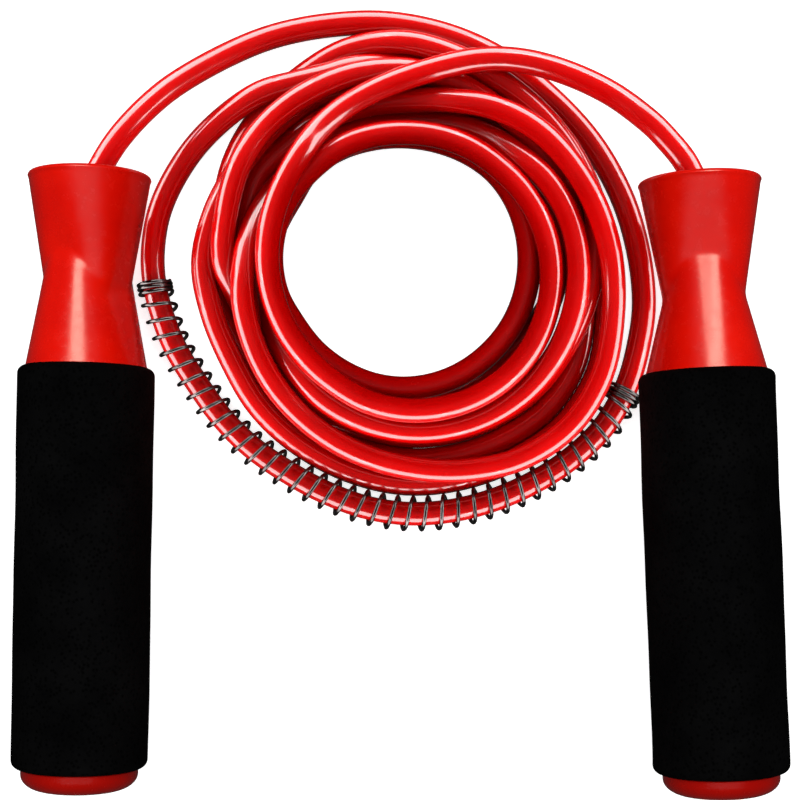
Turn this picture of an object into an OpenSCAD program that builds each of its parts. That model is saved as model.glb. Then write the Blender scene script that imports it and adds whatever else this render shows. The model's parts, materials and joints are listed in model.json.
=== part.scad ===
// Jump rope with swivel handles, coiled up and lying on a flat surface.
// All sizes are in millimetres. The floor is z = 0, and the handles point along Y.

/* [Show] */
// Which piece to draw, or all of them

/* [Handle] */
// Outside diameter of the foam grip
foam_diameter = 34; // [28:0.5:40]
// Length of the foam grip
foam_length = 100; // [80:1:140]
// Radius of the foam grip's rounded ends
foam_edge = 1.5; // [0.5:0.5:3]
// Outside diameter of the handle's tube under the foam
tube_diameter = 25.5; // [22:0.5:28]
// Wall thickness of that tube
tube_wall = 3; // [2:0.5:4]
// Length of the moulded neck in front of the foam
neck_length = 48; // [40:1:60]
// Diameter of the neck's rim, at the mouth
rim_diameter = 30.5; // [26:0.5:34]
// Diameter of the neck where it meets the foam
neck_base_diameter = 30; // [26:0.5:32]
// Diameter of the red cap at the handle's end
cap_diameter = 29; // [24:0.5:32]
// How far that cap stands out of the foam
cap_height = 5.5; // [3:0.5:8]
// How far the cap's plug reaches into the tube
plug_length = 12; // [8:1:20]

/* [Pinched waist] */
// How much each side of the neck slopes in on its wide faces
wide_slope = 0.18; // [0.1:0.01:0.25]
// How much each side of the neck slopes in on its flat faces
flat_slope = 0.27; // [0.2:0.01:0.35]
// Depth of the front half's narrow end below the mouth
front_depth = 30; // [26:1:34]
// Depth of the rear half's narrow end below the mouth
rear_depth = 16; // [12:1:20]
// Corner radius of both narrow ends
waist_corner = 4.5; // [3:0.5:6]

/* [Swivel bearing] */
// Outside diameter of the ball bearing
bearing_diameter = 19; // [16:1:22]
// Bore of the ball bearing
bearing_bore = 8; // [7:1:8]
// Width of the ball bearing
bearing_width = 6; // [5:0.5:7]
// Diameter of each ball
ball_diameter = 3.2; // [2.5:0.1:3.5]
// Number of balls
ball_count = 7; // [6:1:8]
// Depth of the bearing's front face below the mouth
bearing_depth = 8; // [7:0.5:9]
// Thickness of the cover that keeps the bearing in
cover_thickness = 2.5; // [1.5:0.5:3]

/* [Rope] */
// Diameter of the rope
rope_diameter = 6.2; // [5:0.1:8]
// Outside diameter of the rope's coil
coil_outer_diameter = 110; // [100:1:112]
// Diameter of the hole in the coil
coil_hole_diameter = 58; // [50:1:70]
// Height of the coil's pile of turns
coil_height = 16; // [10:0.5:18]
// Outside diameter of the wire spring around the rope
spring_diameter = 9.4; // [8:0.1:11]
// Diameter of the spring's wire
spring_wire = 1.1; // [0.8:0.1:1.5]
// Sides of the rope's swept cross-section
rope_sides = 10; // [8:1:12]

/* [Pose] */
// Lean of the left handle toward the coil, in degrees
left_lean = 1; // [0:0.1:5]
// Lean of the right handle toward the coil, in degrees
right_lean = 2.1; // [0:0.1:5]
// Turn of the left handle about its own axis
left_turn = -30; // [-90:1:90]
// Turn of the right handle about its own axis
right_turn = -7; // [-90:1:90]

/* [Hidden] */
$fn = 64;
fit = 0.05;

foam_radius = foam_diameter / 2;
tube_radius = tube_diameter / 2;
tube_bore_radius = tube_radius - tube_wall;
rim_radius = rim_diameter / 2;
neck_base_radius = neck_base_diameter / 2;
cap_radius = cap_diameter / 2;
cap_flat_radius = cap_radius * 0.6;
handle_end = neck_length + foam_length;
rope_radius = rope_diameter / 2;
spring_radius = spring_diameter / 2;

// Half sizes of the two narrow ends: along the wide faces and across the flat ones.
front_wide = rim_radius - wide_slope * front_depth;
front_flat = rim_radius - flat_slope * front_depth;
rear_wide = neck_base_radius - wide_slope * (neck_length - rear_depth);
rear_flat = neck_base_radius - flat_slope * (neck_length - rear_depth);

// Ball bearing
bearing_radius = bearing_diameter / 2;
bore_radius = bearing_bore / 2;
pitch_radius = (bearing_radius + bore_radius) / 2;
ball_radius = ball_diameter / 2;
groove_radius = ball_radius + fit;
inner_land = pitch_radius - 0.6 * ball_radius;
outer_land = pitch_radius + 0.6 * ball_radius;
bearing_end = bearing_depth + bearing_width;
shield_thickness = 0.4;
cage_gap = 0.35;

// Mouth, cover, and the pieces that hold the rope's end
mouth_radius = bearing_radius + 1.5;
cover_radius = bearing_radius + 1;
cover_hole_radius = inner_land + 0.6;
cavity_radius = outer_land - 0.7;
spindle_front = bearing_depth - 1;
collar_length = 2;
collar_radius = bore_radius + 1.2;
spindle_end = bearing_end + collar_length + 1.5;
washer_thickness = 1;
stop_length = 10;
stop_radius = bore_radius + 0.6;
rope_end = spindle_end + washer_thickness + stop_length + 2;

// Where the two mouths are, at the height of the grips' own radius
left_mouth = [-77.6, 76.8, foam_radius];
right_mouth = [74.8, 75.6, foam_radius];
left_axis = [sin(left_lean), cos(left_lean), 0];
right_axis = [-sin(right_lean), cos(right_lean), 0];
coil_center = [1.2, 56.5];

// Route of the rope from the left handle, round the outside, to where it joins the coil
lead_route = concat(
    [for (depth = [-rope_end, -spindle_front]) left_mouth + depth * left_axis],
    [
        [-76.5, 75.3, 17], [-74, 80.6, 17], [-69.8, 87.2, 16.2], [-63.5, 95, 13.6],
        [-56, 102, 10.6], [-44, 110, 6.8], [-32, 115.5, 4.4], [-18, 118.5, 3.4],
        [-3, 119, 3.1], [12, 116, 3.1], [25.5, 110, 3.1], [38, 100.5, 3.1],
        [49.2, 88.5, 3.1], [57, 75, 3.1], [61.4, 61, 3.2], [63, 47, 3.6],
        [61.4, 35, 4.2], [58, 24, 4.7]
    ]);
spring_route = [
    [58, 24, 4.7], [52, 14, 4.7], [43.5, 6, 4.7], [34, 0, 4.7], [23.5, -4.5, 4.7],
    [12.5, -7.2, 4.7], [1.5, -7.8, 4.7], [-9.5, -6, 4.7], [-20, -2, 4.7],
    [-29.5, 3.2, 4.7], [-38.5, 9.5, 4.7], [-46, 17, 4.7], [-52.5, 26, 4.7],
    [-58, 35, 4.7], [-61.5, 44, 4.7], [-63.4, 52, 4.7]
];
return_route = [
    [-64, 60.5, 3.6], [-62.5, 70, 3.2], [-58.5, 79, 3.2], [-52.5, 87.5, 4],
    [-44.5, 94.5, 6], [-35.5, 99.5, 8.5], [-26.5, 102, 8], [-19, 103.5, 6]
];
// Route of the rope's last stretch, from the top of the coil to the right handle
tail_route = concat(
    [
        [-20.5, 88.2, 17.5], [-14, 94.5, 17.5], [-4, 100, 17.5], [8, 104, 16.5],
        [20, 106.5, 14.5], [31, 106.5, 12.5], [42, 103.5, 11.5], [53, 98, 12.5],
        [61.7, 90.5, 15], [67, 85.2, 16.6], [71.2, 80.2, 17], [73.8, 74.8, 17]
    ],
    [for (depth = [-spindle_front, -rope_end]) right_mouth + depth * right_axis]);

function unit(v) = v / norm(v);

// A point on the smooth curve through four route points, at t between the middle two.
function curve_point(a, b, c, d, t) =
    0.5 * (2 * b + (c - a) * t + (2 * a - 5 * b + 4 * c - d) * t * t
        + (3 * b - a - 3 * c + d) * t * t * t);

// Each ring's direction, from its two neighbours.
function heading(path, i) =
    unit(path[min(i + 1, len(path) - 1)] - path[max(i - 1, 0)]);

// One ring of points around the path.
function ring(path, i, radius, sides) =
    let (ahead = heading(path, i), side = unit(cross(ahead, [0, 0, 1])), up = cross(side, ahead))
    [for (k = [0:sides - 1])
        path[i] + radius * (cos(360 * k / sides) * side + sin(360 * k / sides) * up)];

function flatten(lists) = [for (list = lists) for (item = list) item];

// The skin between rings, as quads from ring i to ring i + 1.
function skin(rings, sides, first, inward) = [
    for (i = [0:rings - 2])
        for (k = [0:sides - 1])
            let (a = first + i * sides + k, b = first + i * sides + (k + 1) % sides)
            inward ? [a, a + sides, b + sides, b] : [a, b, b + sides, a + sides]];

// A solid round rope along a path.
module rope_tube(path, radius) {
    rings = len(path);
    points = flatten([for (i = [0:rings - 1]) ring(path, i, radius, rope_sides)]);
    start_cap = [[for (k = [rope_sides - 1:-1:0]) k]];
    end_cap = [[for (k = [0:rope_sides - 1]) (rings - 1) * rope_sides + k]];
    polyhedron(points, concat(skin(rings, rope_sides, 0, false), start_cap, end_cap), convexity = 8);
}

// A hollow sleeve along a path.
module sleeve(path, outer, inner) {
    rings = len(path);
    count = rings * rope_sides;
    last = count - rope_sides;
    points = concat(
        flatten([for (i = [0:rings - 1]) ring(path, i, outer, rope_sides)]),
        flatten([for (i = [0:rings - 1]) ring(path, i, inner, rope_sides)]));
    ends = flatten([for (k = [0:rope_sides - 1])
        let (next = (k + 1) % rope_sides)
        [
            [next, k, count + k, count + next],
            [last + k, last + next, count + last + next, count + last + k]
        ]]);
    polyhedron(
        points,
        concat(skin(rings, rope_sides, 0, false), skin(rings, rope_sides, count, true), ends),
        convexity = 8);
}

// Places a handle so its mouth is at a point and its own Z axis leads out of the mouth.
module at_left() {
    translate(left_mouth) rotate([0, 0, -left_lean]) rotate([-90, 0, 0]) children();
}

module at_right() {
    translate(right_mouth) rotate([0, 0, right_lean]) rotate([-90, 0, 0]) children();
}

// A washer-like ring whose front face is at a depth below the mouth.
module ring_at(depth, length, outer, inner) {
    translate([0, 0, -depth - length])
        difference() {
            cylinder(r = outer, h = length);
            translate([0, 0, -1]) cylinder(r = inner, h = length + 2);
        }
}

// A thin rounded rectangle, the narrow end of half a neck.
module narrow_end(depth, half_x, half_y) {
    translate([0, 0, -depth])
        linear_extrude(0.2)
            offset(r = waist_corner, $fn = 32)
                square([2 * (half_x - waist_corner), 2 * (half_y - waist_corner)], center = true);
}

// The neck's outside: a front half flared toward the mouth, flat above and below, and a rear
// half flared toward the foam, flat on its two sides, each running into the other.
module neck_outside() {
    hull() {
        translate([0, 0, -0.2]) cylinder(r = rim_radius - 0.6, h = 0.2, $fn = 48);
        translate([0, 0, -1]) cylinder(r = rim_radius, h = 0.2, $fn = 48);
        narrow_end(front_depth, front_wide, front_flat);
    }
    hull() {
        translate([0, 0, -neck_length]) cylinder(r = neck_base_radius, h = 0.6, $fn = 48);
        narrow_end(rear_depth, rear_flat, rear_wide);
    }
}

module handle_core(turn) {
    rotate([0, 0, turn])
        difference() {
            union() {
                neck_outside();
                translate([0, 0, -handle_end]) cylinder(r = tube_radius, h = foam_length);
            }
            translate([0, 0, -(bearing_depth - cover_thickness)]) cylinder(r = mouth_radius, h = 20);
            translate([0, 0, -bearing_depth]) cylinder(r = cover_radius, h = 5);
            translate([0, 0, -bearing_end]) cylinder(r = bearing_radius, h = bearing_width + 1);
            translate([0, 0, -neck_length]) cylinder(r = cavity_radius, h = neck_length);
            translate([0, 0, -handle_end - 1]) cylinder(r = tube_bore_radius, h = foam_length + 2);
        }
}

module foam_grip() {
    rotate_extrude()
        polygon([
            [tube_radius, -neck_length],
            [tube_radius, -handle_end],
            for (a = [-90:15:0])
                [foam_radius - foam_edge * (1 - cos(a)), -handle_end + foam_edge * (1 + sin(a))],
            for (a = [0:15:90])
                [foam_radius - foam_edge * (1 - cos(a)), -neck_length - foam_edge * (1 - sin(a))]
        ]);
}

// Domed outside with a small flat in the middle, and a hollow plug inside the tube.
module end_cap() {
    dome = cap_height - 1.5;
    rotate_extrude()
        polygon([
            [0, -handle_end + 3],
            [0, -handle_end - cap_height],
            for (a = [90:-15:0])
                [
                    cap_flat_radius + (cap_radius - cap_flat_radius) * cos(a),
                    -handle_end - 1.5 - dome * sin(a)
                ],
            [cap_radius, -handle_end],
            [tube_bore_radius, -handle_end],
            [tube_bore_radius, -handle_end + plug_length],
            [tube_bore_radius - 2, -handle_end + plug_length],
            [tube_bore_radius - 2, -handle_end + 3]
        ]);
}

module mouth_cover() {
    ring_at(bearing_depth - cover_thickness, cover_thickness, cover_radius, cover_hole_radius);
}

// A bearing race between two radii, with the balls' groove cut round it.
module race(outer, inner) {
    translate([0, 0, -bearing_depth - bearing_width / 2])
        rotate_extrude()
            difference() {
                translate([inner, -bearing_width / 2]) square([outer - inner, bearing_width]);
                translate([pitch_radius, 0]) circle(r = groove_radius);
            }
}

module bearing_balls() {
    translate([0, 0, -bearing_depth - bearing_width / 2])
        for (k = [0:ball_count - 1])
            rotate([0, 0, 360 * k / ball_count])
                translate([pitch_radius, 0, 0])
                    sphere(r = ball_radius, $fn = 24);
}

module bearing_cage() {
    height = 2.6 * ball_radius;
    translate([0, 0, -bearing_depth - bearing_width / 2])
        difference() {
            translate([0, 0, -height / 2]) cylinder(r = outer_land - cage_gap, h = height);
            translate([0, 0, -height]) cylinder(r = inner_land + cage_gap, h = 2 * height);
            for (k = [0:ball_count - 1])
                rotate([0, 90, 360 * k / ball_count])
                    cylinder(r = ball_radius + 0.1, h = bearing_radius, $fn = 24);
        }
}

module bearing_shields() {
    ring_at(bearing_depth + 0.1, shield_thickness, outer_land, inner_land + 0.3);
    ring_at(bearing_end - 0.1 - shield_thickness, shield_thickness, outer_land, inner_land + 0.3);
}

module swivel_spindle() {
    difference() {
        union() {
            translate([0, 0, -spindle_end]) cylinder(r = bore_radius, h = spindle_end - spindle_front);
            translate([0, 0, -bearing_end - collar_length])
                cylinder(r = collar_radius, h = collar_length);
        }
        translate([0, 0, -spindle_end - 1]) cylinder(r = rope_radius + fit, h = spindle_end);
    }
}

module thrust_washer() {
    ring_at(spindle_end, washer_thickness, stop_radius + 1, rope_radius + 0.2);
}

module rope_stop() {
    ring_at(spindle_end + washer_thickness, stop_length, stop_radius, rope_radius);
}

// The pieces of both handles
module left_handle_core() { color("#d8140c") at_left() handle_core(left_turn); }
module right_handle_core() { color("#d8140c") at_right() handle_core(right_turn); }
module left_foam_grip() { color("#151515") at_left() foam_grip(); }
module right_foam_grip() { color("#151515") at_right() foam_grip(); }
module left_end_cap() { color("#d8140c") at_left() end_cap(); }
module right_end_cap() { color("#d8140c") at_right() end_cap(); }
module left_mouth_cover() { color("#202020") at_left() mouth_cover(); }
module right_mouth_cover() { color("#202020") at_right() mouth_cover(); }
module left_bearing_outer_race() { color("#b8bcc0") at_left() race(bearing_radius, outer_land); }
module right_bearing_outer_race() { color("#b8bcc0") at_right() race(bearing_radius, outer_land); }
module left_bearing_inner_race() { color("#b8bcc0") at_left() race(inner_land, bore_radius); }
module right_bearing_inner_race() { color("#b8bcc0") at_right() race(inner_land, bore_radius); }
module left_bearing_balls() { color("#d8dce0") at_left() bearing_balls(); }
module right_bearing_balls() { color("#d8dce0") at_right() bearing_balls(); }
module left_bearing_cage() { color("#c8b070") at_left() bearing_cage(); }
module right_bearing_cage() { color("#c8b070") at_right() bearing_cage(); }
module left_bearing_shields() { color("#a8acb0") at_left() bearing_shields(); }
module right_bearing_shields() { color("#a8acb0") at_right() bearing_shields(); }
module left_swivel_spindle() { color("#c0c4c8") at_left() swivel_spindle(); }
module right_swivel_spindle() { color("#c0c4c8") at_right() swivel_spindle(); }
module left_thrust_washer() { color("#c0c4c8") at_left() thrust_washer(); }
module right_thrust_washer() { color("#c0c4c8") at_right() thrust_washer(); }
module left_rope_stop() { color("#a8a8a8") at_left() rope_stop(); }
module right_rope_stop() { color("#a8a8a8") at_right() rope_stop(); }

// The rope and the spring on it
module rope_lead() {
    color("#c80804") rope_tube(concat(lead_route, [for (i = [1:len(spring_route) - 1]) spring_route[i]],
        return_route), rope_radius);
}

module rope_tail() { color("#c80804") rope_tube(tail_route, rope_radius); }

module rope_coil() {
    inner = coil_hole_diameter / 2;
    width = (coil_outer_diameter - coil_hole_diameter) / 2;
    color("#c80804")
        translate([coil_center.x, coil_center.y, 0])
            rotate_extrude()
                translate([inner + rope_radius, rope_radius])
                    offset(r = rope_radius)
                        square([width - 2 * rope_radius, coil_height - 2 * rope_radius]);
}

module spring_protector() {
    color("#2a2a2c") sleeve(spring_route, spring_radius, spring_radius - spring_wire);
}

left_handle_core();
left_foam_grip();
left_end_cap();
left_mouth_cover();
left_bearing_outer_race();
left_bearing_inner_race();
left_bearing_balls();
left_bearing_cage();
left_bearing_shields();
left_swivel_spindle();
left_thrust_washer();
left_rope_stop();
right_handle_core();
right_foam_grip();
right_end_cap();
right_mouth_cover();
right_bearing_outer_race();
right_bearing_inner_race();
right_bearing_balls();
right_bearing_cage();
right_bearing_shields();
right_swivel_spindle();
right_thrust_washer();
right_rope_stop();
rope_lead();
rope_tail();
rope_coil();
spring_protector();
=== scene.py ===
"""Looks of a jump rope with swivel handles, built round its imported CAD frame.

Lengths are in millimetres where a name or a list says so, and are turned into Blender's metres
as each mesh or curve is made. A handle's own frame has its mouth at the origin and Z leading out
of the mouth, so a depth below the mouth is a negative z.
"""

import json
import math

import bpy
import numpy as np
from mathutils import Matrix, Vector

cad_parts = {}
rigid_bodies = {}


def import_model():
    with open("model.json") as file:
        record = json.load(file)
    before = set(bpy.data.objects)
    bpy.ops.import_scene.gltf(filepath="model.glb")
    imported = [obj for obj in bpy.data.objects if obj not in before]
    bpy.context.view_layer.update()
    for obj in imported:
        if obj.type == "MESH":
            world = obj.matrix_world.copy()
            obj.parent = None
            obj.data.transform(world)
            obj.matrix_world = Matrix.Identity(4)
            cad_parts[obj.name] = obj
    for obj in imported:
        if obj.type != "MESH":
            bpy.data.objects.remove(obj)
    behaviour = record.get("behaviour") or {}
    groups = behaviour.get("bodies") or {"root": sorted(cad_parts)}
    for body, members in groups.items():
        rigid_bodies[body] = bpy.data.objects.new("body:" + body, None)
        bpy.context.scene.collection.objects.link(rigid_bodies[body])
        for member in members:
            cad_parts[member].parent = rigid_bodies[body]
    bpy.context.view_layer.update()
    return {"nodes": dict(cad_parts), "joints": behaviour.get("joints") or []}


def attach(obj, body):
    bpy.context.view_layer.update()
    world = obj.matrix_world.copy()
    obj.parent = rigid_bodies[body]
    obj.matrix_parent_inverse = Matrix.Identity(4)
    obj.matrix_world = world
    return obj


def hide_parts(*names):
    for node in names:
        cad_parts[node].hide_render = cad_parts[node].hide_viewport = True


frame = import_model()

MM = 0.001

# ---------------------------------------------------------------- handles' places, from the frame


def handle_frame(side):
    """The handle's mouth and its outward axis, in millimetres, from its joint."""
    joint = next(j for j in frame["joints"] if j["name"] == side + "_handle_spin")
    return np.array(joint["pos_m"]) / MM, np.array(joint["axis"])


LEFT_MOUTH, LEFT_AXIS = handle_frame("left")
RIGHT_MOUTH, RIGHT_AXIS = handle_frame("right")

# ---------------------------------------------------------------- camera

CAMERA_PLACE = (-0.55, -7, 420)
LENS = 72.5
VIEW_SHIFT = 0.138


def make_camera():
    """Looks straight down, with the handles' mouths toward the top of the picture."""
    data = bpy.data.cameras.new("camera")
    data.sensor_width = 36
    data.lens = LENS
    data.shift_y = VIEW_SHIFT
    data.clip_start = 0.01
    data.clip_end = 10
    camera = bpy.data.objects.new("camera", data)
    camera.location = Vector(CAMERA_PLACE) * MM
    bpy.context.scene.collection.objects.link(camera)
    bpy.context.scene.camera = camera


make_camera()

# ---------------------------------------------------------------- the rope's path

ROPE_RADIUS = 3.1
SPRING_RADIUS = 4.7
ROPE_START_DEPTH = 28
ROPE_STRAIGHT_DEPTH = 7

LEAD_ROUTE = [
    (-76.5, 75.3, 17), (-74, 80.6, 17), (-69.8, 87.2, 16.2), (-63.5, 95, 13.6),
    (-56, 102, 10.6), (-44, 110, 6.8), (-32, 115.5, 4.4), (-18, 118.5, 3.4),
    (-3, 119, 3.1), (12, 116, 3.1), (25.5, 110, 3.1), (38, 100.5, 3.1),
    (49.2, 88.5, 3.1), (57, 75, 3.1), (61.4, 61, 3.2), (63, 47, 3.6),
    (61.4, 35, 4.2),
]
SPRING_ROUTE = [
    (58, 24, 4.7), (52, 14, 4.7), (43.5, 6, 4.7), (34, 0, 4.7), (23.5, -4.5, 4.7),
    (12.5, -7.2, 4.7), (1.5, -7.8, 4.7), (-9.5, -6, 4.7), (-20, -2, 4.7),
    (-29.5, 3.2, 4.7), (-38.5, 9.5, 4.7), (-46, 17, 4.7), (-52.5, 26, 4.7),
    (-58, 35, 4.7), (-61.5, 44, 4.7), (-63.4, 52, 4.7),
]
RETURN_ROUTE = [
    (-64, 60.5, 3.6), (-62.5, 70, 3.2), (-58.5, 79, 3.2), (-52.5, 87.5, 4),
    (-44.5, 94.5, 6), (-35.5, 99.5, 8.5), (-26.5, 102, 8), (-19, 103.5, 6),
]
TAIL_ROUTE = [
    (-20.5, 88.2, 17.5), (-14, 94.5, 17.5), (-4, 100, 17.5), (8, 104, 16.5),
    (20, 106.5, 14.5), (31, 106.5, 12.5), (42, 103.5, 11.5), (53, 98, 12.5),
    (61.7, 90.5, 15), (67, 85.2, 16.6), (71.2, 80.2, 17), (73.8, 74.8, 17),
]
# How far above its place the coil's end of the return and of the tail is let down from.
RETURN_LIFT = 8
TAIL_LIFT = 38
COIL_CENTRE = (1.2, 56.5)
# Radius of each turn at eight stations round it, clockwise from the side nearest the mouths.
TURNS = [
    (50, 46.5, 47, 57.5, 56, 51, 49.5, 49),
    (49.5, 45.5, 41.5, 34.5, 34.5, 40.5, 46, 49),
    (49, 44.5, 48, 54, 51, 48, 46, 53),
    (55, 49, 47.5, 47, 46.5, 44, 43.5, 42.5),
    (41, 46.5, 51.5, 60, 52.5, 46, 40.5, 37.5),
    (37, 40, 44, 45.5, 43.5, 40, 36.5, 34.5),
    (32.5, 33, 32, 32, 32.5, 32.5, 34, 33),
    (32, 33.5, 37, 39.5, 38.5, 35.5, 34.5, 36),
]
# Radii just before the first turn and just after the last one, which shape the curve there.
BEFORE_TURNS = 58
AFTER_TURNS = (46, 63)
STATIONS = 8
POINTS_A_STATION = 3
NODES_A_POINT = 4
# The third turn's end dives under the two turns that were laid before it.
DIVE_START, DIVE_END, DIVE_RAMP = 2.62, 3.03, 0.12
FIRST_LAYER, DIVE_LAYER = 1.6, 0.35

# How the rope is let down: how far it falls in a round, and the share of its rounds at which
# it slows down and at which it is levelled less.
SETTLE_ROUNDS = 500
FALL, LAST_FALL = 0.12, 0.02
SLOW_AFTER, LEVEL_LESS_AFTER = 0.75, 0.9
ROUNDS_A_PAIRING = 8
TOUCH_MARGIN = 2.5
NEIGHBOURS = 5
# The rope's last part, on top of the pile, keeps to its own place more than the rest does.
HOLD, TOP_HOLD, TOP_START = 0.06, 0.15, 0.62
HELD_TAIL_POINTS = 4
EASING_ROUNDS = 3
PUSHES = 3


def smooth_step(x):
    x = min(max(x, 0), 1)
    return x * x * (3 - 2 * x)


def smooth_curve(points, steps):
    """Points on the smooth curve through the given ones, steps of them to each gap."""
    points = np.asarray(points, float)
    ends = [2 * points[0] - points[1]], [2 * points[-1] - points[-2]]
    padded = np.vstack([ends[0], points, ends[1]])
    curve = []
    for a, b, c, d in zip(padded, padded[1:], padded[2:], padded[3:]):
        for t in np.arange(steps) / steps:
            curve.append(0.5 * (2 * b + (c - a) * t + (2 * a - 5 * b + 4 * c - d) * t**2
                                + (3 * b - a - 3 * c + d) * t**3))
    curve.append(points[-1])
    return np.array(curve)


def lift(turn):
    """Height from which a point of the coil is let down, in rope diameters."""
    laid = FIRST_LAYER + turn
    dive = smooth_step((turn - DIVE_START) / DIVE_RAMP)
    dive *= 1 - smooth_step((turn - DIVE_END) / DIVE_RAMP)
    return laid + (DIVE_LAYER - laid) * dive


def raised(route, at_start, at_end):
    """A route lifted by an amount at each of its ends, less and less toward the other end."""
    share = np.linspace(0, 1, len(route))
    points = np.array(route, float)
    points[:, 2] += at_start * (1 - share) ** 2 + at_end * share**2
    return points


def coil_route():
    """The coil's turns, each point at its station's radius and above what lies under it."""
    stations = [BEFORE_TURNS, *[r for turn in TURNS for r in turn], *AFTER_TURNS]
    radii = smooth_curve(np.array(stations)[:, None], POINTS_A_STATION)[:, 0]
    route = []
    for i, radius in enumerate(radii):
        turn = (i / POINTS_A_STATION - 1) / STATIONS
        if -0.045 < turn < len(TURNS) - 0.12:
            angle = math.radians(90 - 360 * turn)
            route.append((
                COIL_CENTRE[0] + radius * math.cos(angle),
                COIL_CENTRE[1] + radius * math.sin(angle),
                ROPE_RADIUS + 2.1 * ROPE_RADIUS * lift(turn),
            ))
    return route


def rope_route():
    """Every route point from one handle to the other, and the name of its stretch."""
    depths = np.array([ROPE_START_DEPTH, 22, 17, 12, ROPE_STRAIGHT_DEPTH])
    stretches = [
        ("handle", [LEFT_MOUTH - d * LEFT_AXIS for d in depths]),
        ("lead", LEAD_ROUTE),
        ("spring", SPRING_ROUTE),
        ("return", raised(RETURN_ROUTE, 0, RETURN_LIFT)),
        ("coil", coil_route()),
        ("tail", raised(TAIL_ROUTE, TAIL_LIFT, 0)),
        ("handle", [RIGHT_MOUTH - d * RIGHT_AXIS for d in depths[::-1]]),
    ]
    points = [p for _, route in stretches for p in route]
    names = [name for name, route in stretches for _ in route]
    return np.array(points, float), names


def touching(nodes, radius):
    """Pairs of nodes that may touch, leaving out near neighbours along the rope."""
    index = np.arange(len(nodes))
    apart = index[None, :] - index[:, None] > NEIGHBOURS
    squared = ((nodes[:, None, :] - nodes[None, :, :]) ** 2).sum(2)
    reach = radius[:, None] + radius[None, :] + TOUCH_MARGIN
    return np.nonzero(apart & (squared < reach**2))


def push_apart(nodes, pairs, radius, free):
    """Moves overlapping nodes apart along the line between them, and up off the floor."""
    first, second = pairs
    line = nodes[second] - nodes[first]
    distance = np.linalg.norm(line, axis=1) + 1e-9
    overlap = radius[first] + radius[second] - distance
    hit = overlap > 0
    move = (0.5 * overlap[hit] / distance[hit])[:, None] * line[hit]
    shift = np.zeros_like(nodes)
    count = np.zeros(len(nodes))
    np.add.at(shift, first[hit], -move)
    np.add.at(shift, second[hit], move)
    np.add.at(count, first[hit], 1)
    np.add.at(count, second[hit], 1)
    shift /= np.sqrt(np.maximum(count, 1))[:, None]
    shift[~free] = 0
    nodes += shift
    nodes[:, 2] = np.maximum(nodes[:, 2], radius)


def settle(nodes, radius, free, hold):
    """Lets the rope down onto the floor and itself. It is stiff, and each node is drawn back
    to its own place on the floor plan by its share of hold."""
    home = nodes[:, :2].copy()
    for step in range(SETTLE_ROUNDS):
        if step % ROUNDS_A_PAIRING == 0:
            pairs = touching(nodes, radius)
        nodes[free, 2] -= FALL if step < SLOW_AFTER * SETTLE_ROUNDS else LAST_FALL
        for _ in range(2 if step < LEVEL_LESS_AFTER * SETTLE_ROUNDS else 1):
            offset = nodes[:, :2] - home
            nodes[1:-1, :2] = home[1:-1] + 0.5 * offset[1:-1] + 0.25 * (offset[:-2] + offset[2:])
            height = nodes[:, 2].copy()
            level = 0.5 * height[1:-1] + 0.25 * (height[:-2] + height[2:])
            nodes[1:-1, 2] = np.where(free[1:-1], level, height[1:-1])
        nodes[:, :2] += hold[:, None] * (home - nodes[:, :2])
        nodes[~free, :2] = home[~free]
        for _ in range(PUSHES):
            push_apart(nodes, pairs, radius, free)


def ease(nodes, radius, free):
    """Takes small kinks out of the settled rope, and keeps its strands apart meanwhile."""
    pairs = touching(nodes, radius)
    for _ in range(EASING_ROUNDS):
        smoother = 0.5 * nodes[1:-1] + 0.25 * (nodes[:-2] + nodes[2:])
        nodes[1:-1] = np.where(free[1:-1, None], smoother, nodes[1:-1])
        for _ in range(PUSHES):
            push_apart(nodes, pairs, radius, free)


def rope_path():
    """The rope's settled centreline and the stretch that each of its nodes is in."""
    points, names = rope_route()
    nodes = smooth_curve(points, NODES_A_POINT)
    names = np.array([names[i // NODES_A_POINT] for i in range(len(nodes))])
    after_spring = np.nonzero(names == "spring")[0][-NODES_A_POINT + 1:]
    names[after_spring] = "return"
    radius = np.where(names == "spring", SPRING_RADIUS, ROPE_RADIUS)
    free = np.isin(names, ["return", "coil", "tail"])
    held = np.nonzero(names == "tail")[0][-HELD_TAIL_POINTS * NODES_A_POINT:]
    free[held] = False
    on_top = np.arange(len(nodes)) > TOP_START * len(nodes)
    settle(nodes, radius, free, np.where(on_top, TOP_HOLD, HOLD))
    ease(nodes, radius, free)
    return nodes, names


ROPE_NODES, ROPE_STRETCHES = rope_path()

# ---------------------------------------------------------------- materials


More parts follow.
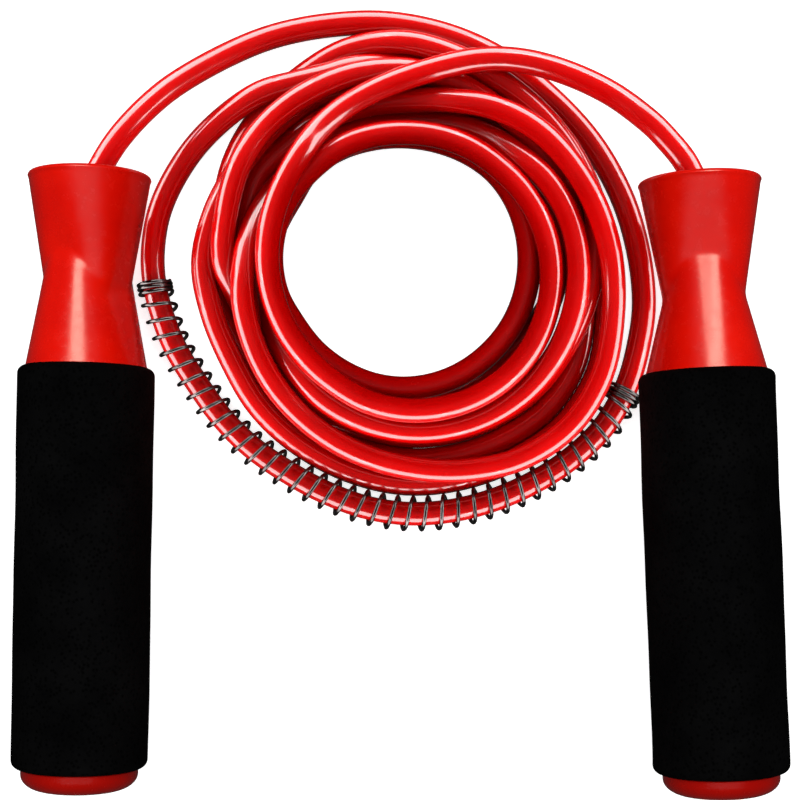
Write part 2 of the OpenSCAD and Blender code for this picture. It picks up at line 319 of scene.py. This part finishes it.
class Nodes:
    """A material's node tree, with one short call for each kind of node it uses."""

    def __init__(self, name):
        self.material = bpy.data.materials.new(name)
        self.material.use_nodes = True
        self.tree = self.material.node_tree
        self.shader = self.tree.nodes["Principled BSDF"]
        place = self.tree.nodes.new("ShaderNodeTexCoord")
        self.place = place.outputs["Object"]

    def link(self, source, target):
        self.tree.links.new(source, target)

    def noise(self, scale, detail=2.0, rough=0.5):
        node = self.tree.nodes.new("ShaderNodeTexNoise")
        node.inputs["Scale"].default_value = scale
        node.inputs["Detail"].default_value = detail
        node.inputs["Roughness"].default_value = rough
        self.link(self.place, node.inputs["Vector"])
        return node.outputs["Fac"]

    def cells(self, scale):
        node = self.tree.nodes.new("ShaderNodeTexVoronoi")
        node.inputs["Scale"].default_value = scale
        self.link(self.place, node.inputs["Vector"])
        return node.outputs["Distance"]

    def distance(self):
        """How far a point is from its object's origin, in metres."""
        node = self.tree.nodes.new("ShaderNodeVectorMath")
        node.operation = "LENGTH"
        self.link(self.place, node.inputs[0])
        return node.outputs["Value"]

    def ramp(self, source, *stops):
        """A colour or a value from stops of (position, colour or value)."""
        node = self.tree.nodes.new("ShaderNodeValToRGB")
        ramp = node.color_ramp
        while len(ramp.elements) < len(stops):
            ramp.elements.new(0.5)
        for element, (position, value) in zip(ramp.elements, stops):
            element.position = position
            element.color = (*value, 1) if isinstance(value, tuple) else (value, value, value, 1)
        self.link(source, node.inputs["Fac"])
        return node.outputs["Color"]

    def mix(self, share, first, second):
        node = self.tree.nodes.new("ShaderNodeMix")
        node.data_type = "RGBA"
        for index, value in ((0, share), (6, first), (7, second)):
            socket = node.inputs[index]
            if isinstance(value, bpy.types.NodeSocket):
                self.link(value, socket)
            else:
                socket.default_value = value if isinstance(value, (int, float)) else (*value, 1)
        return node.outputs[2]

    def edges(self, low, high):
        """How much of a worn edge a point is on, from the mesh's own corners."""
        node = self.tree.nodes.new("ShaderNodeNewGeometry")
        return self.ramp(node.outputs["Pointiness"], (low, 0.0), (high, 1.0))

    def bump(self, *layers):
        """Bumps from layers of (source, depth in millimetres)."""
        normal = None
        for source, depth in layers:
            node = self.tree.nodes.new("ShaderNodeBump")
            node.inputs["Distance"].default_value = depth * MM
            self.link(source, node.inputs["Height"])
            if normal:
                self.link(normal, node.inputs["Normal"])
            normal = node.outputs["Normal"]
        self.link(normal, self.shader.inputs["Normal"])

    def finish(self, colour, roughness, **constants):
        """Links colour and roughness, and sets what is the same all over on the shader."""
        self.link(colour, self.shader.inputs["Base Color"])
        self.link(roughness, self.shader.inputs["Roughness"])
        for name, value in constants.items():
            self.shader.inputs[name.replace("_", " ")].default_value = value
        return self.material


def rope_pvc():
    """Glossy red PVC: faint ripples from extrusion, and dull scuffs in places."""
    m = Nodes("rope_pvc")
    scuffs = m.ramp(m.noise(900, 5, 0.7), (0.62, 0.0), (0.78, 1.0))
    tone = m.ramp(m.noise(45, 3), (0.35, (0.25, 0.0, 0.0)), (0.65, (0.31, 0.0, 0.0)))
    colour = m.mix(scuffs, tone, (0.34, 0.003, 0.002))
    roughness = m.mix(scuffs, m.ramp(m.noise(160, 2), (0.3, 0.20), (0.7, 0.26)), (0.4, 0.4, 0.4))
    m.bump((m.noise(350, 2), 0.05), (m.noise(2600, 3), 0.01))
    return m.finish(colour, roughness, IOR=1.53, Specular_IOR_Level=0.15,
                    Coat_Weight=1.0, Coat_Roughness=0.11)


def red_plastic():
    """Moulded orange-red plastic with a fine satin grain, paler where edges are rubbed."""
    m = Nodes("red_plastic")
    tone = m.ramp(m.noise(70, 4), (0.3, (0.52, 0.002, 0.0)), (0.7, (0.60, 0.004, 0.0)))
    rubbed = m.edges(0.53, 0.62)
    colour = m.mix(rubbed, tone, (0.66, 0.012, 0.004))
    roughness = m.ramp(m.noise(420, 4, 0.6), (0.3, 0.20), (0.7, 0.30))
    m.bump((m.noise(1800, 3), 0.008), (m.noise(120, 2), 0.05))
    return m.finish(colour, roughness, IOR=1.5)


def black_foam():
    """Soft closed-cell foam: each pore's hollow darkened as painted shade, and a fine powdery
    grain between them.
    """
    m = Nodes("black_foam")
    pores_and_painted_shade = m.ramp(m.cells(900), (0.05, 0.0), (0.45, 1.0))
    worn = m.ramp(m.noise(60, 4, 0.6), (0.35, 0.0), (0.75, 1.0))
    plain = m.mix(worn, (0.006, 0.006, 0.0063), (0.014, 0.014, 0.0145))
    # The near-black colour at each pore's middle is painted shade in its hollow.
    colour = m.mix(pores_and_painted_shade, (0.002, 0.002, 0.002), plain)
    roughness = m.ramp(m.noise(500, 3), (0.3, 0.82), (0.7, 0.97))
    m.bump((pores_and_painted_shade, 0.12), (m.noise(3500, 3), 0.05))
    return m.finish(colour, roughness, Specular_IOR_Level=0.03)


def metal(name, dark, light, rough_low, rough_high):
    """A metal with fine tool marks, its tone darker and lighter at random."""
    m = Nodes(name)
    colour = m.ramp(m.noise(300, 4, 0.6), (0.3, dark), (0.7, light))
    roughness = m.ramp(m.noise(700, 3), (0.3, rough_low), (0.7, rough_high))
    m.bump((m.noise(1500), 0.02))
    return m.finish(colour, roughness, Metallic=1.0)


def black_plastic():
    """The moulded cover inside the mouth."""
    m = Nodes("black_plastic")
    colour = m.ramp(m.noise(200, 3), (0.3, (0.012, 0.012, 0.013)), (0.7, (0.022, 0.021, 0.021)))
    roughness = m.ramp(m.noise(900, 3), (0.3, 0.4), (0.7, 0.6))
    m.bump((m.noise(2500, 3), 0.02))
    return m.finish(colour, roughness)


MATERIALS = {
    "red_pvc": rope_pvc(),
    "red_plastic": red_plastic(),
    "black_foam": black_foam(),
    "black_plastic": black_plastic(),
    "spring_steel": metal("spring_steel", (0.02, 0.017, 0.017), (0.09, 0.08, 0.078), 0.14, 0.26),
    "bearing_steel": metal("bearing_steel", (0.42, 0.43, 0.45), (0.6, 0.61, 0.63), 0.15, 0.3),
    "cage_brass": metal("cage_brass", (0.45, 0.28, 0.1), (0.65, 0.44, 0.18), 0.25, 0.4),
    "stop_aluminium": metal("stop_aluminium", (0.5, 0.5, 0.51), (0.7, 0.7, 0.71), 0.3, 0.45),
}

# ---------------------------------------------------------------- rope and spring


def dress(piece, slot, body):
    """Gives a finished piece the material of its slot, and its body."""
    piece.data.materials.append(MATERIALS[slot])
    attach(piece, body)
    return piece


def curve_piece(name, points_mm, radius_mm, sides):
    """A round rod along points, as one smooth curve."""
    data = bpy.data.curves.new(name, "CURVE")
    data.dimensions = "3D"
    data.resolution_u = 6
    data.bevel_depth = radius_mm * MM
    data.bevel_resolution = sides
    data.use_fill_caps = True
    spline = data.splines.new("BEZIER")
    points = np.asarray(points_mm) * MM
    spline.bezier_points.add(len(points) - 1)
    ahead = np.gradient(points, axis=0) / 3
    for knot, place, step in zip(spline.bezier_points, points, ahead):
        knot.handle_left_type = "FREE"
        knot.handle_right_type = "FREE"
        knot.co = place
        knot.handle_left = place - step
        knot.handle_right = place + step
    piece = bpy.data.objects.new(name, data)
    bpy.context.scene.collection.objects.link(piece)
    return piece


def path_length(points):
    return float(np.linalg.norm(np.diff(points, axis=0), axis=1).sum())


def make_rope():
    points = ROPE_NODES[::NODES_A_POINT]
    rope = curve_piece("rope", points, ROPE_RADIUS, 6)
    dress(rope, "red_pvc", "rope")
    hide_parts("rope_lead", "rope_tail", "rope_coil")
    return rope


def along(points, distances):
    """Points, headings and side directions at distances along a path."""
    run = np.concatenate([[0], np.cumsum(np.linalg.norm(np.diff(points, axis=0), axis=1))])
    places = np.stack([np.interp(distances, run, points[:, k]) for k in range(3)], 1)
    heading = np.gradient(places, axis=0)
    heading /= np.linalg.norm(heading, axis=1)[:, None]
    side = np.cross(heading, [0, 0, 1])
    side /= np.linalg.norm(side, axis=1)[:, None]
    return places, heading, side


SPRING_WIRE_RADIUS = 0.5
SPRING_COIL_RADIUS = SPRING_RADIUS - SPRING_WIRE_RADIUS
SPRING_OPEN_TURNS = 37
SPRING_CLOSED_TURNS = 3
SPRING_POINTS_A_TURN = 16


def make_spring():
    """A wire spring round the rope, its last turns wound close at both ends."""
    sleeve = ROPE_NODES[ROPE_STRETCHES == "spring"]
    length = path_length(sleeve)
    close_pitch = 2.15 * SPRING_WIRE_RADIUS
    close = SPRING_CLOSED_TURNS * close_pitch
    marks = np.cumsum([0, SPRING_CLOSED_TURNS, SPRING_OPEN_TURNS, SPRING_CLOSED_TURNS])
    turns = np.arange(0, marks[-1], 1 / SPRING_POINTS_A_TURN)
    distances = np.interp(turns, marks, [0, close, length - close, length])
    places, heading, side = along(sleeve, distances)
    up = np.cross(side, heading)
    angle = 2 * math.pi * turns[:, None]
    wire = places + SPRING_COIL_RADIUS * (np.cos(angle) * side + np.sin(angle) * up)
    spring = curve_piece("spring", wire, SPRING_WIRE_RADIUS, 2)
    spring.data.resolution_u = 2
    dress(spring, "spring_steel", "rope")
    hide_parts("spring_protector")
    return spring


rope = make_rope()
spring = make_spring()

# ---------------------------------------------------------------- handles

FOAM_RADIUS, FOAM_LENGTH, FOAM_EDGE = 17, 100, 2
TUBE_RADIUS, TUBE_BORE_RADIUS = 12.75, 9.75
NECK_LENGTH, RIM_RADIUS, NECK_BASE_RADIUS = 48, 15.25, 15
CAP_RADIUS, CAP_FLAT_RADIUS, CAP_HEIGHT, PLUG_LENGTH = 14.5, 8.7, 5.5, 12
HANDLE_END = NECK_LENGTH + FOAM_LENGTH
WIDE_SLOPE, FLAT_SLOPE, WAIST_CORNER, WAIST_BLEND = 0.18, 0.27, 4.5, 0.35
FRONT_DEPTH, REAR_DEPTH = 30, 16
MOUTH_RADIUS, MOUTH_DEPTH = 11, 5.5
COVER_RADIUS, BEARING_RADIUS, CAVITY_RADIUS = 10.5, 9.5, 7.01
BEARING_DEPTH, BEARING_END = 8, 14
SEGMENTS = 128


def place_handle(side, turn_degrees=0):
    """The matrix that takes a handle's own frame, in millimetres, to the scene's metres."""
    mouth, axis = handle_frame(side)
    z = Vector(axis)
    x = z.cross(Vector((0, 0, 1))).normalized()
    y = z.cross(x)
    turned = Matrix((x, y, z)).transposed().to_4x4()
    about = Matrix.Rotation(math.radians(turn_degrees), 4, "Z")
    return Matrix.Translation(Vector(mouth) * MM) @ turned @ about @ Matrix.Scale(MM, 4)


def tube_mesh(name, rings, closed):
    """A mesh of rings of points. Closed joins the last ring to the first; else both get caps."""
    count, sides = len(rings), len(rings[0])
    points = [tuple(p) for ring in rings for p in ring]
    faces = []
    for i in range(count if closed else count - 1):
        below, above = i * sides, (i + 1) % count * sides
        for k in range(sides):
            after = (k + 1) % sides
            faces.append((below + k, below + after, above + after, above + k))
    if not closed:
        faces.append(tuple(range(sides))[::-1])
        faces.append(tuple(range((count - 1) * sides, count * sides)))
    mesh = bpy.data.meshes.new(name)
    mesh.from_pydata(points, [], faces)
    mesh.validate()
    return mesh


def handle_piece(name, side, rings, closed, turn_degrees=0, sharp_degrees=35):
    """A piece of one handle from rings in the handle's own frame."""
    mesh = tube_mesh(name, rings, closed)
    mesh.transform(place_handle(side, turn_degrees))
    mesh.shade_smooth()
    mesh.set_sharp_from_angle(angle=math.radians(sharp_degrees))
    piece = bpy.data.objects.new(name, mesh)
    bpy.context.scene.collection.objects.link(piece)
    return piece


def round_ring(radius, z):
    """A circle of points. The radius may differ from point to point."""
    angle = np.linspace(0, 2 * math.pi, SEGMENTS, endpoint=False)
    radius = np.broadcast_to(radius, angle.shape)
    return np.stack([radius * np.cos(angle), radius * np.sin(angle), np.full(SEGMENTS, z)], 1)


def funnel_radius(share, circle_radius, half_x, half_y):
    """Outline of a section between a circle (share 0) and a rounded rectangle (share 1), as a
    radius at each of the ring's angles."""
    normal = np.linspace(0, 2 * math.pi, 20 * SEGMENTS, endpoint=False) + 1e-6
    corner = (1 - share) * circle_radius + share * WAIST_CORNER
    x = share * np.sign(np.cos(normal)) * (half_x - WAIST_CORNER) + corner * np.cos(normal)
    y = share * np.sign(np.sin(normal)) * (half_y - WAIST_CORNER) + corner * np.sin(normal)
    angle = np.unwrap(np.arctan2(y, x))
    wanted = np.linspace(0, 2 * math.pi, SEGMENTS, endpoint=False)
    # Points are sparse along the straight sides, so x and y are worked out before the radius.
    along_x = np.interp(wanted, angle, x, period=2 * math.pi)
    along_y = np.interp(wanted, angle, y, period=2 * math.pi)
    return np.hypot(along_x, along_y) / np.cos(np.arctan2(along_y, along_x) - wanted)


def neck_radius(depth):
    """The neck's outline at a depth below the mouth: two pinched funnels run into each other."""
    outlines = []
    if depth <= FRONT_DEPTH:
        outlines.append(funnel_radius(depth / FRONT_DEPTH, RIM_RADIUS,
                                      RIM_RADIUS - WIDE_SLOPE * FRONT_DEPTH,
                                      RIM_RADIUS - FLAT_SLOPE * FRONT_DEPTH))
    if depth >= REAR_DEPTH:
        run = NECK_LENGTH - REAR_DEPTH
        outlines.append(funnel_radius((NECK_LENGTH - depth) / run, NECK_BASE_RADIUS,
                                      NECK_BASE_RADIUS - FLAT_SLOPE * run,
                                      NECK_BASE_RADIUS - WIDE_SLOPE * run))
    if len(outlines) == 1:
        return outlines[0]
    first, second = outlines
    return 0.5 * (first + second + np.sqrt((first - second) ** 2 + WAIST_BLEND**2))


def make_core(side, turn_degrees):
    """Neck, tube and the stepped hole for the bearing, in one closed skin."""
    rim = 0.9
    rings = [round_ring(MOUTH_RADIUS, -0.4), round_ring(MOUTH_RADIUS + 0.4, 0)]
    for a in np.radians(range(0, 91, 15)):
        edge = RIM_RADIUS - rim * (1 - math.sin(a))
        rings.append(round_ring(edge, -rim * (1 - math.cos(a))))
    for depth in np.arange(1.5, NECK_LENGTH, 0.5):
        rings.append(round_ring(neck_radius(depth), -depth))
    rings.append(round_ring(NECK_BASE_RADIUS, -NECK_LENGTH + 0.1))
    plain = [
        (NECK_BASE_RADIUS - 0.2, NECK_LENGTH), (TUBE_RADIUS, NECK_LENGTH),
        (TUBE_RADIUS, HANDLE_END), (TUBE_BORE_RADIUS, HANDLE_END),
        (TUBE_BORE_RADIUS, NECK_LENGTH), (CAVITY_RADIUS, NECK_LENGTH),
        (CAVITY_RADIUS, BEARING_END), (BEARING_RADIUS, BEARING_END),
        (BEARING_RADIUS, BEARING_DEPTH), (COVER_RADIUS, BEARING_DEPTH),
        (COVER_RADIUS, MOUTH_DEPTH), (MOUTH_RADIUS, MOUTH_DEPTH),
    ]
    rings += [round_ring(radius, -depth) for radius, depth in plain]
    core = handle_piece(side + "_core", side, rings[::-1], True, turn_degrees)
    dress(core, "red_plastic", side + "_handle")
    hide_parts(side + "_handle_core")
    return core


def make_foam(side, seed):
    """A foam sleeve: rounded ends, slightly uneven along and round it."""
    random = np.random.default_rng(seed)
    waves = [(k, random.uniform(0, 2 * math.pi), random.uniform(0.02, 0.07)) for k in (1, 2, 3, 5)]
    angle = np.linspace(0, 2 * math.pi, SEGMENTS, endpoint=False)

    def outline(depth):
        share = (depth - NECK_LENGTH) / FOAM_LENGTH
        bulge = sum(size * np.cos(k * angle + phase + 5 * k * share) for k, phase, size in waves)
        return FOAM_RADIUS + bulge - 0.1

    rings = [round_ring(TUBE_RADIUS, -NECK_LENGTH)]
    for a in np.radians(range(0, 91, 10)):
        inset, drop = FOAM_EDGE * (1 - math.sin(a)), FOAM_EDGE * (1 - math.cos(a))
        rings.append(round_ring(outline(NECK_LENGTH) - inset, -NECK_LENGTH - drop))
    for depth in np.linspace(NECK_LENGTH + FOAM_EDGE, HANDLE_END - FOAM_EDGE, 70)[1:-1]:
        rings.append(round_ring(outline(depth), -depth))
    for a in np.radians(range(90, -1, -10)):
        inset, drop = FOAM_EDGE * (1 - math.sin(a)), FOAM_EDGE * (1 - math.cos(a))
        rings.append(round_ring(outline(HANDLE_END) - inset, -HANDLE_END + drop))
    rings.append(round_ring(TUBE_RADIUS, -HANDLE_END))
    foam = handle_piece(side + "_foam", side, rings[::-1], True, sharp_degrees=60)
    dress(foam, "black_foam", side + "_handle")
    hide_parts(side + "_foam_grip")
    return foam


def make_cap(side):
    """The domed end cap with its hollow plug."""
    dome = CAP_HEIGHT - 1.5
    profile = [(0.01, HANDLE_END - 3), (TUBE_BORE_RADIUS - 2, HANDLE_END - 3),
               (TUBE_BORE_RADIUS - 2, HANDLE_END - PLUG_LENGTH),
               (TUBE_BORE_RADIUS, HANDLE_END - PLUG_LENGTH),
               (TUBE_BORE_RADIUS, HANDLE_END), (CAP_RADIUS - 0.3, HANDLE_END),
               (CAP_RADIUS, HANDLE_END + 0.3)]
    for a in np.radians(range(0, 91, 5)):
        radius = CAP_FLAT_RADIUS + (CAP_RADIUS - CAP_FLAT_RADIUS) * math.cos(a)
        profile.append((radius, HANDLE_END + 1.5 + dome * math.sin(a)))
    profile.append((CAP_FLAT_RADIUS / 2, HANDLE_END + CAP_HEIGHT))
    profile.append((0.01, HANDLE_END + CAP_HEIGHT))
    rings = [round_ring(radius, -depth) for radius, depth in profile]
    cap = handle_piece(side + "_cap", side, rings, False)
    dress(cap, "red_plastic", side + "_handle")
    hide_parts(side + "_end_cap")
    return cap


for side, turn, seed in (("left", -30, 3), ("right", -7, 8)):
    make_core(side, turn)
    make_foam(side, seed)
    make_cap(side)

CAD_FINISH = {
    "mouth_cover": "black_plastic",
    "bearing_outer_race": "bearing_steel",
    "bearing_inner_race": "bearing_steel",
    "bearing_balls": "bearing_steel",
    "bearing_cage": "cage_brass",
    "bearing_shields": "bearing_steel",
    "swivel_spindle": "bearing_steel",
    "thrust_washer": "bearing_steel",
    "rope_stop": "stop_aluminium",
}
for side in ("left", "right"):
    for part, slot in CAD_FINISH.items():
        node = frame["nodes"][side + "_" + part]
        node.data.materials.clear()
        node.data.materials.append(MATERIALS[slot])

# ---------------------------------------------------------------- floor and light


FLOOR_REACH = 2.0
WALL_CURVE = 1.0
WALL_TOP = 4.0


def make_floor():
    """A plain pale floor that curves up into a wall all round. It glows, most of all away from
    the object, so that its shadows stay light and the wall is pale. Its sizes are in metres."""
    rings = [round_ring(radius, 0) for radius in (0.01, FLOOR_REACH)]
    for a in np.radians(range(10, 91, 10)):
        radius = FLOOR_REACH + WALL_CURVE * math.sin(a)
        rings.append(round_ring(radius, WALL_CURVE * (1 - math.cos(a))))
    rings.append(round_ring(FLOOR_REACH + WALL_CURVE, WALL_TOP))
    mesh = tube_mesh("floor", [ring[::-1] for ring in rings], False)
    mesh.shade_smooth()
    floor = bpy.data.objects.new("floor", mesh)
    bpy.context.scene.collection.objects.link(floor)
    pale = Nodes("floor")
    glow = pale.ramp(pale.distance(), (0.16, 0.75), (0.5, 0.9))
    grain = pale.ramp(pale.noise(8, 3), (0.3, 0.84), (0.7, 0.87))
    pale.link(glow, pale.shader.inputs["Emission Strength"])
    pale.shader.inputs["Emission Color"].default_value = (1, 1, 1, 1)
    matte = pale.ramp(pale.noise(60, 2), (0.3, 0.88), (0.7, 0.94))
    mesh.materials.append(pale.finish(grain, matte, Specular_IOR_Level=0.1))
    floor.visible_diffuse = False
    floor.visible_glossy = False
    return floor


def link_light(light, role, pieces, state):
    """Says which pieces a light falls on (role receiver) or is shaded by (role blocker): only
    these (state INCLUDE), or all but these (state EXCLUDE)."""
    group = bpy.data.collections.new(f"{light.name}_{role}")
    for piece in pieces:
        group.objects.link(piece)
    for member in group.collection_objects:
        member.light_linking.link_state = state
    setattr(light.light_linking, role + "_collection", group)


def make_light(name, place, size, power, glossy=True):
    """A soft box that faces the object's middle. Sizes and places are in metres."""
    data = bpy.data.lights.new(name, "AREA")
    data.shape = "RECTANGLE"
    data.size, data.size_y = size
    data.energy = power
    light = bpy.data.objects.new(name, data)
    target = Vector((0, CENTRE_Y, 0.01))
    light.location = place
    light.rotation_mode = "QUATERNION"
    light.rotation_quaternion = (target - Vector(place)).to_track_quat("-Z", "Y")
    light.visible_glossy = glossy
    bpy.context.scene.collection.objects.link(light)
    return light


# The ring's and the keys' places and sizes are in metres, the flag's in millimetres, and
# powers in watts.
RING_RADIUS, RING_HEIGHT, RING_BOXES, RING_POWER = 0.32, 0.21, 10, 1.3
BOX_OVERLAP = 1.05
FLAG_RADIUS, FLAG_HEIGHT = 22, 150
CENTRE_Y = 0.03
KEY_PLACES = {"left": (-0.16, 0.34, 0.6), "right": (0.17, 0.34, 0.6)}
KEY_SIZE, KEY_POWER, KEY_COLOUR = (0.28, 0.35), 4, (1, 0.82, 0.66)


def make_flag():
    """A dark post in the coil's hole. It keeps the far boxes' light off each strand's inner
    side, and the camera doesn't see it."""
    rings = [round_ring(FLAG_RADIUS, z) for z in (1, FLAG_HEIGHT)]
    mesh = tube_mesh("flag", rings, False)
    mesh.transform(Matrix.Translation((COIL_CENTRE[0] * MM, COIL_CENTRE[1] * MM, 0))
                   @ Matrix.Scale(MM, 4))
    flag = bpy.data.objects.new("flag", mesh)
    bpy.context.scene.collection.objects.link(flag)
    black = Nodes("flag")
    mesh.materials.append(black.finish(black.ramp(black.noise(50), (0, 0.0), (1, 0.002)),
                                       black.ramp(black.noise(50), (0, 0.9), (1, 1.0)),
                                       Specular_IOR_Level=0))
    flag.visible_camera = False
    return flag


def make_lights(floor):
    """A ring of tall boxes draws the rope's bright lines. The floor, the rope and the handles'
    plastic each have an even overhead light, and each neck has a key for its bright strip."""
    flag = make_flag()
    shells = [o for o in bpy.data.objects if o.name.endswith(("_core", "_cap"))]
    handles = shells + [o for o in bpy.data.objects if o.name.endswith("_foam")]

    width = BOX_OVERLAP * 2 * math.pi * RING_RADIUS / RING_BOXES
    for k in range(RING_BOXES):
        angle = 2 * math.pi * (k + 0.5) / RING_BOXES
        place = (RING_RADIUS * math.cos(angle), CENTRE_Y + RING_RADIUS * math.sin(angle),
                 RING_HEIGHT / 2)
        box = make_light(f"ring_box_{k}", place, (width, RING_HEIGHT), RING_POWER)
        link_light(box, "receiver", [*handles, floor], "EXCLUDE")
        link_light(box, "blocker", handles, "EXCLUDE")

    rope_fill = make_light("rope_fill", (0, CENTRE_Y, 1.2), (1.4, 1.4), 4, glossy=False)
    link_light(rope_fill, "receiver", [*shells, floor], "EXCLUDE")
    link_light(rope_fill, "blocker", [flag], "EXCLUDE")
    floor_fill = make_light("floor_fill", (0, CENTRE_Y, 1.0), (1.6, 1.6), 16, glossy=False)
    link_light(floor_fill, "receiver", [floor], "INCLUDE")
    link_light(floor_fill, "blocker", [flag], "EXCLUDE")
    shell_fill = make_light("shell_fill", (0, CENTRE_Y, 1.0), (1.2, 1.2), 9, glossy=False)
    link_light(shell_fill, "receiver", shells, "INCLUDE")
    for side, place in KEY_PLACES.items():
        key = make_light(side + "_key", place, KEY_SIZE, KEY_POWER)
        key.data.color = KEY_COLOUR
        link_light(key, "receiver", [bpy.data.objects[side + "_core"]], "INCLUDE")

    world = bpy.data.worlds.new("world")
    world.use_nodes = True
    background = world.node_tree.nodes["Background"]
    background.inputs["Color"].default_value = (1, 1, 1, 1)
    background.inputs["Strength"].default_value = 0.05
    bpy.context.scene.world = world
    bpy.context.scene.view_settings.view_transform = "Standard"


make_lights(make_floor())
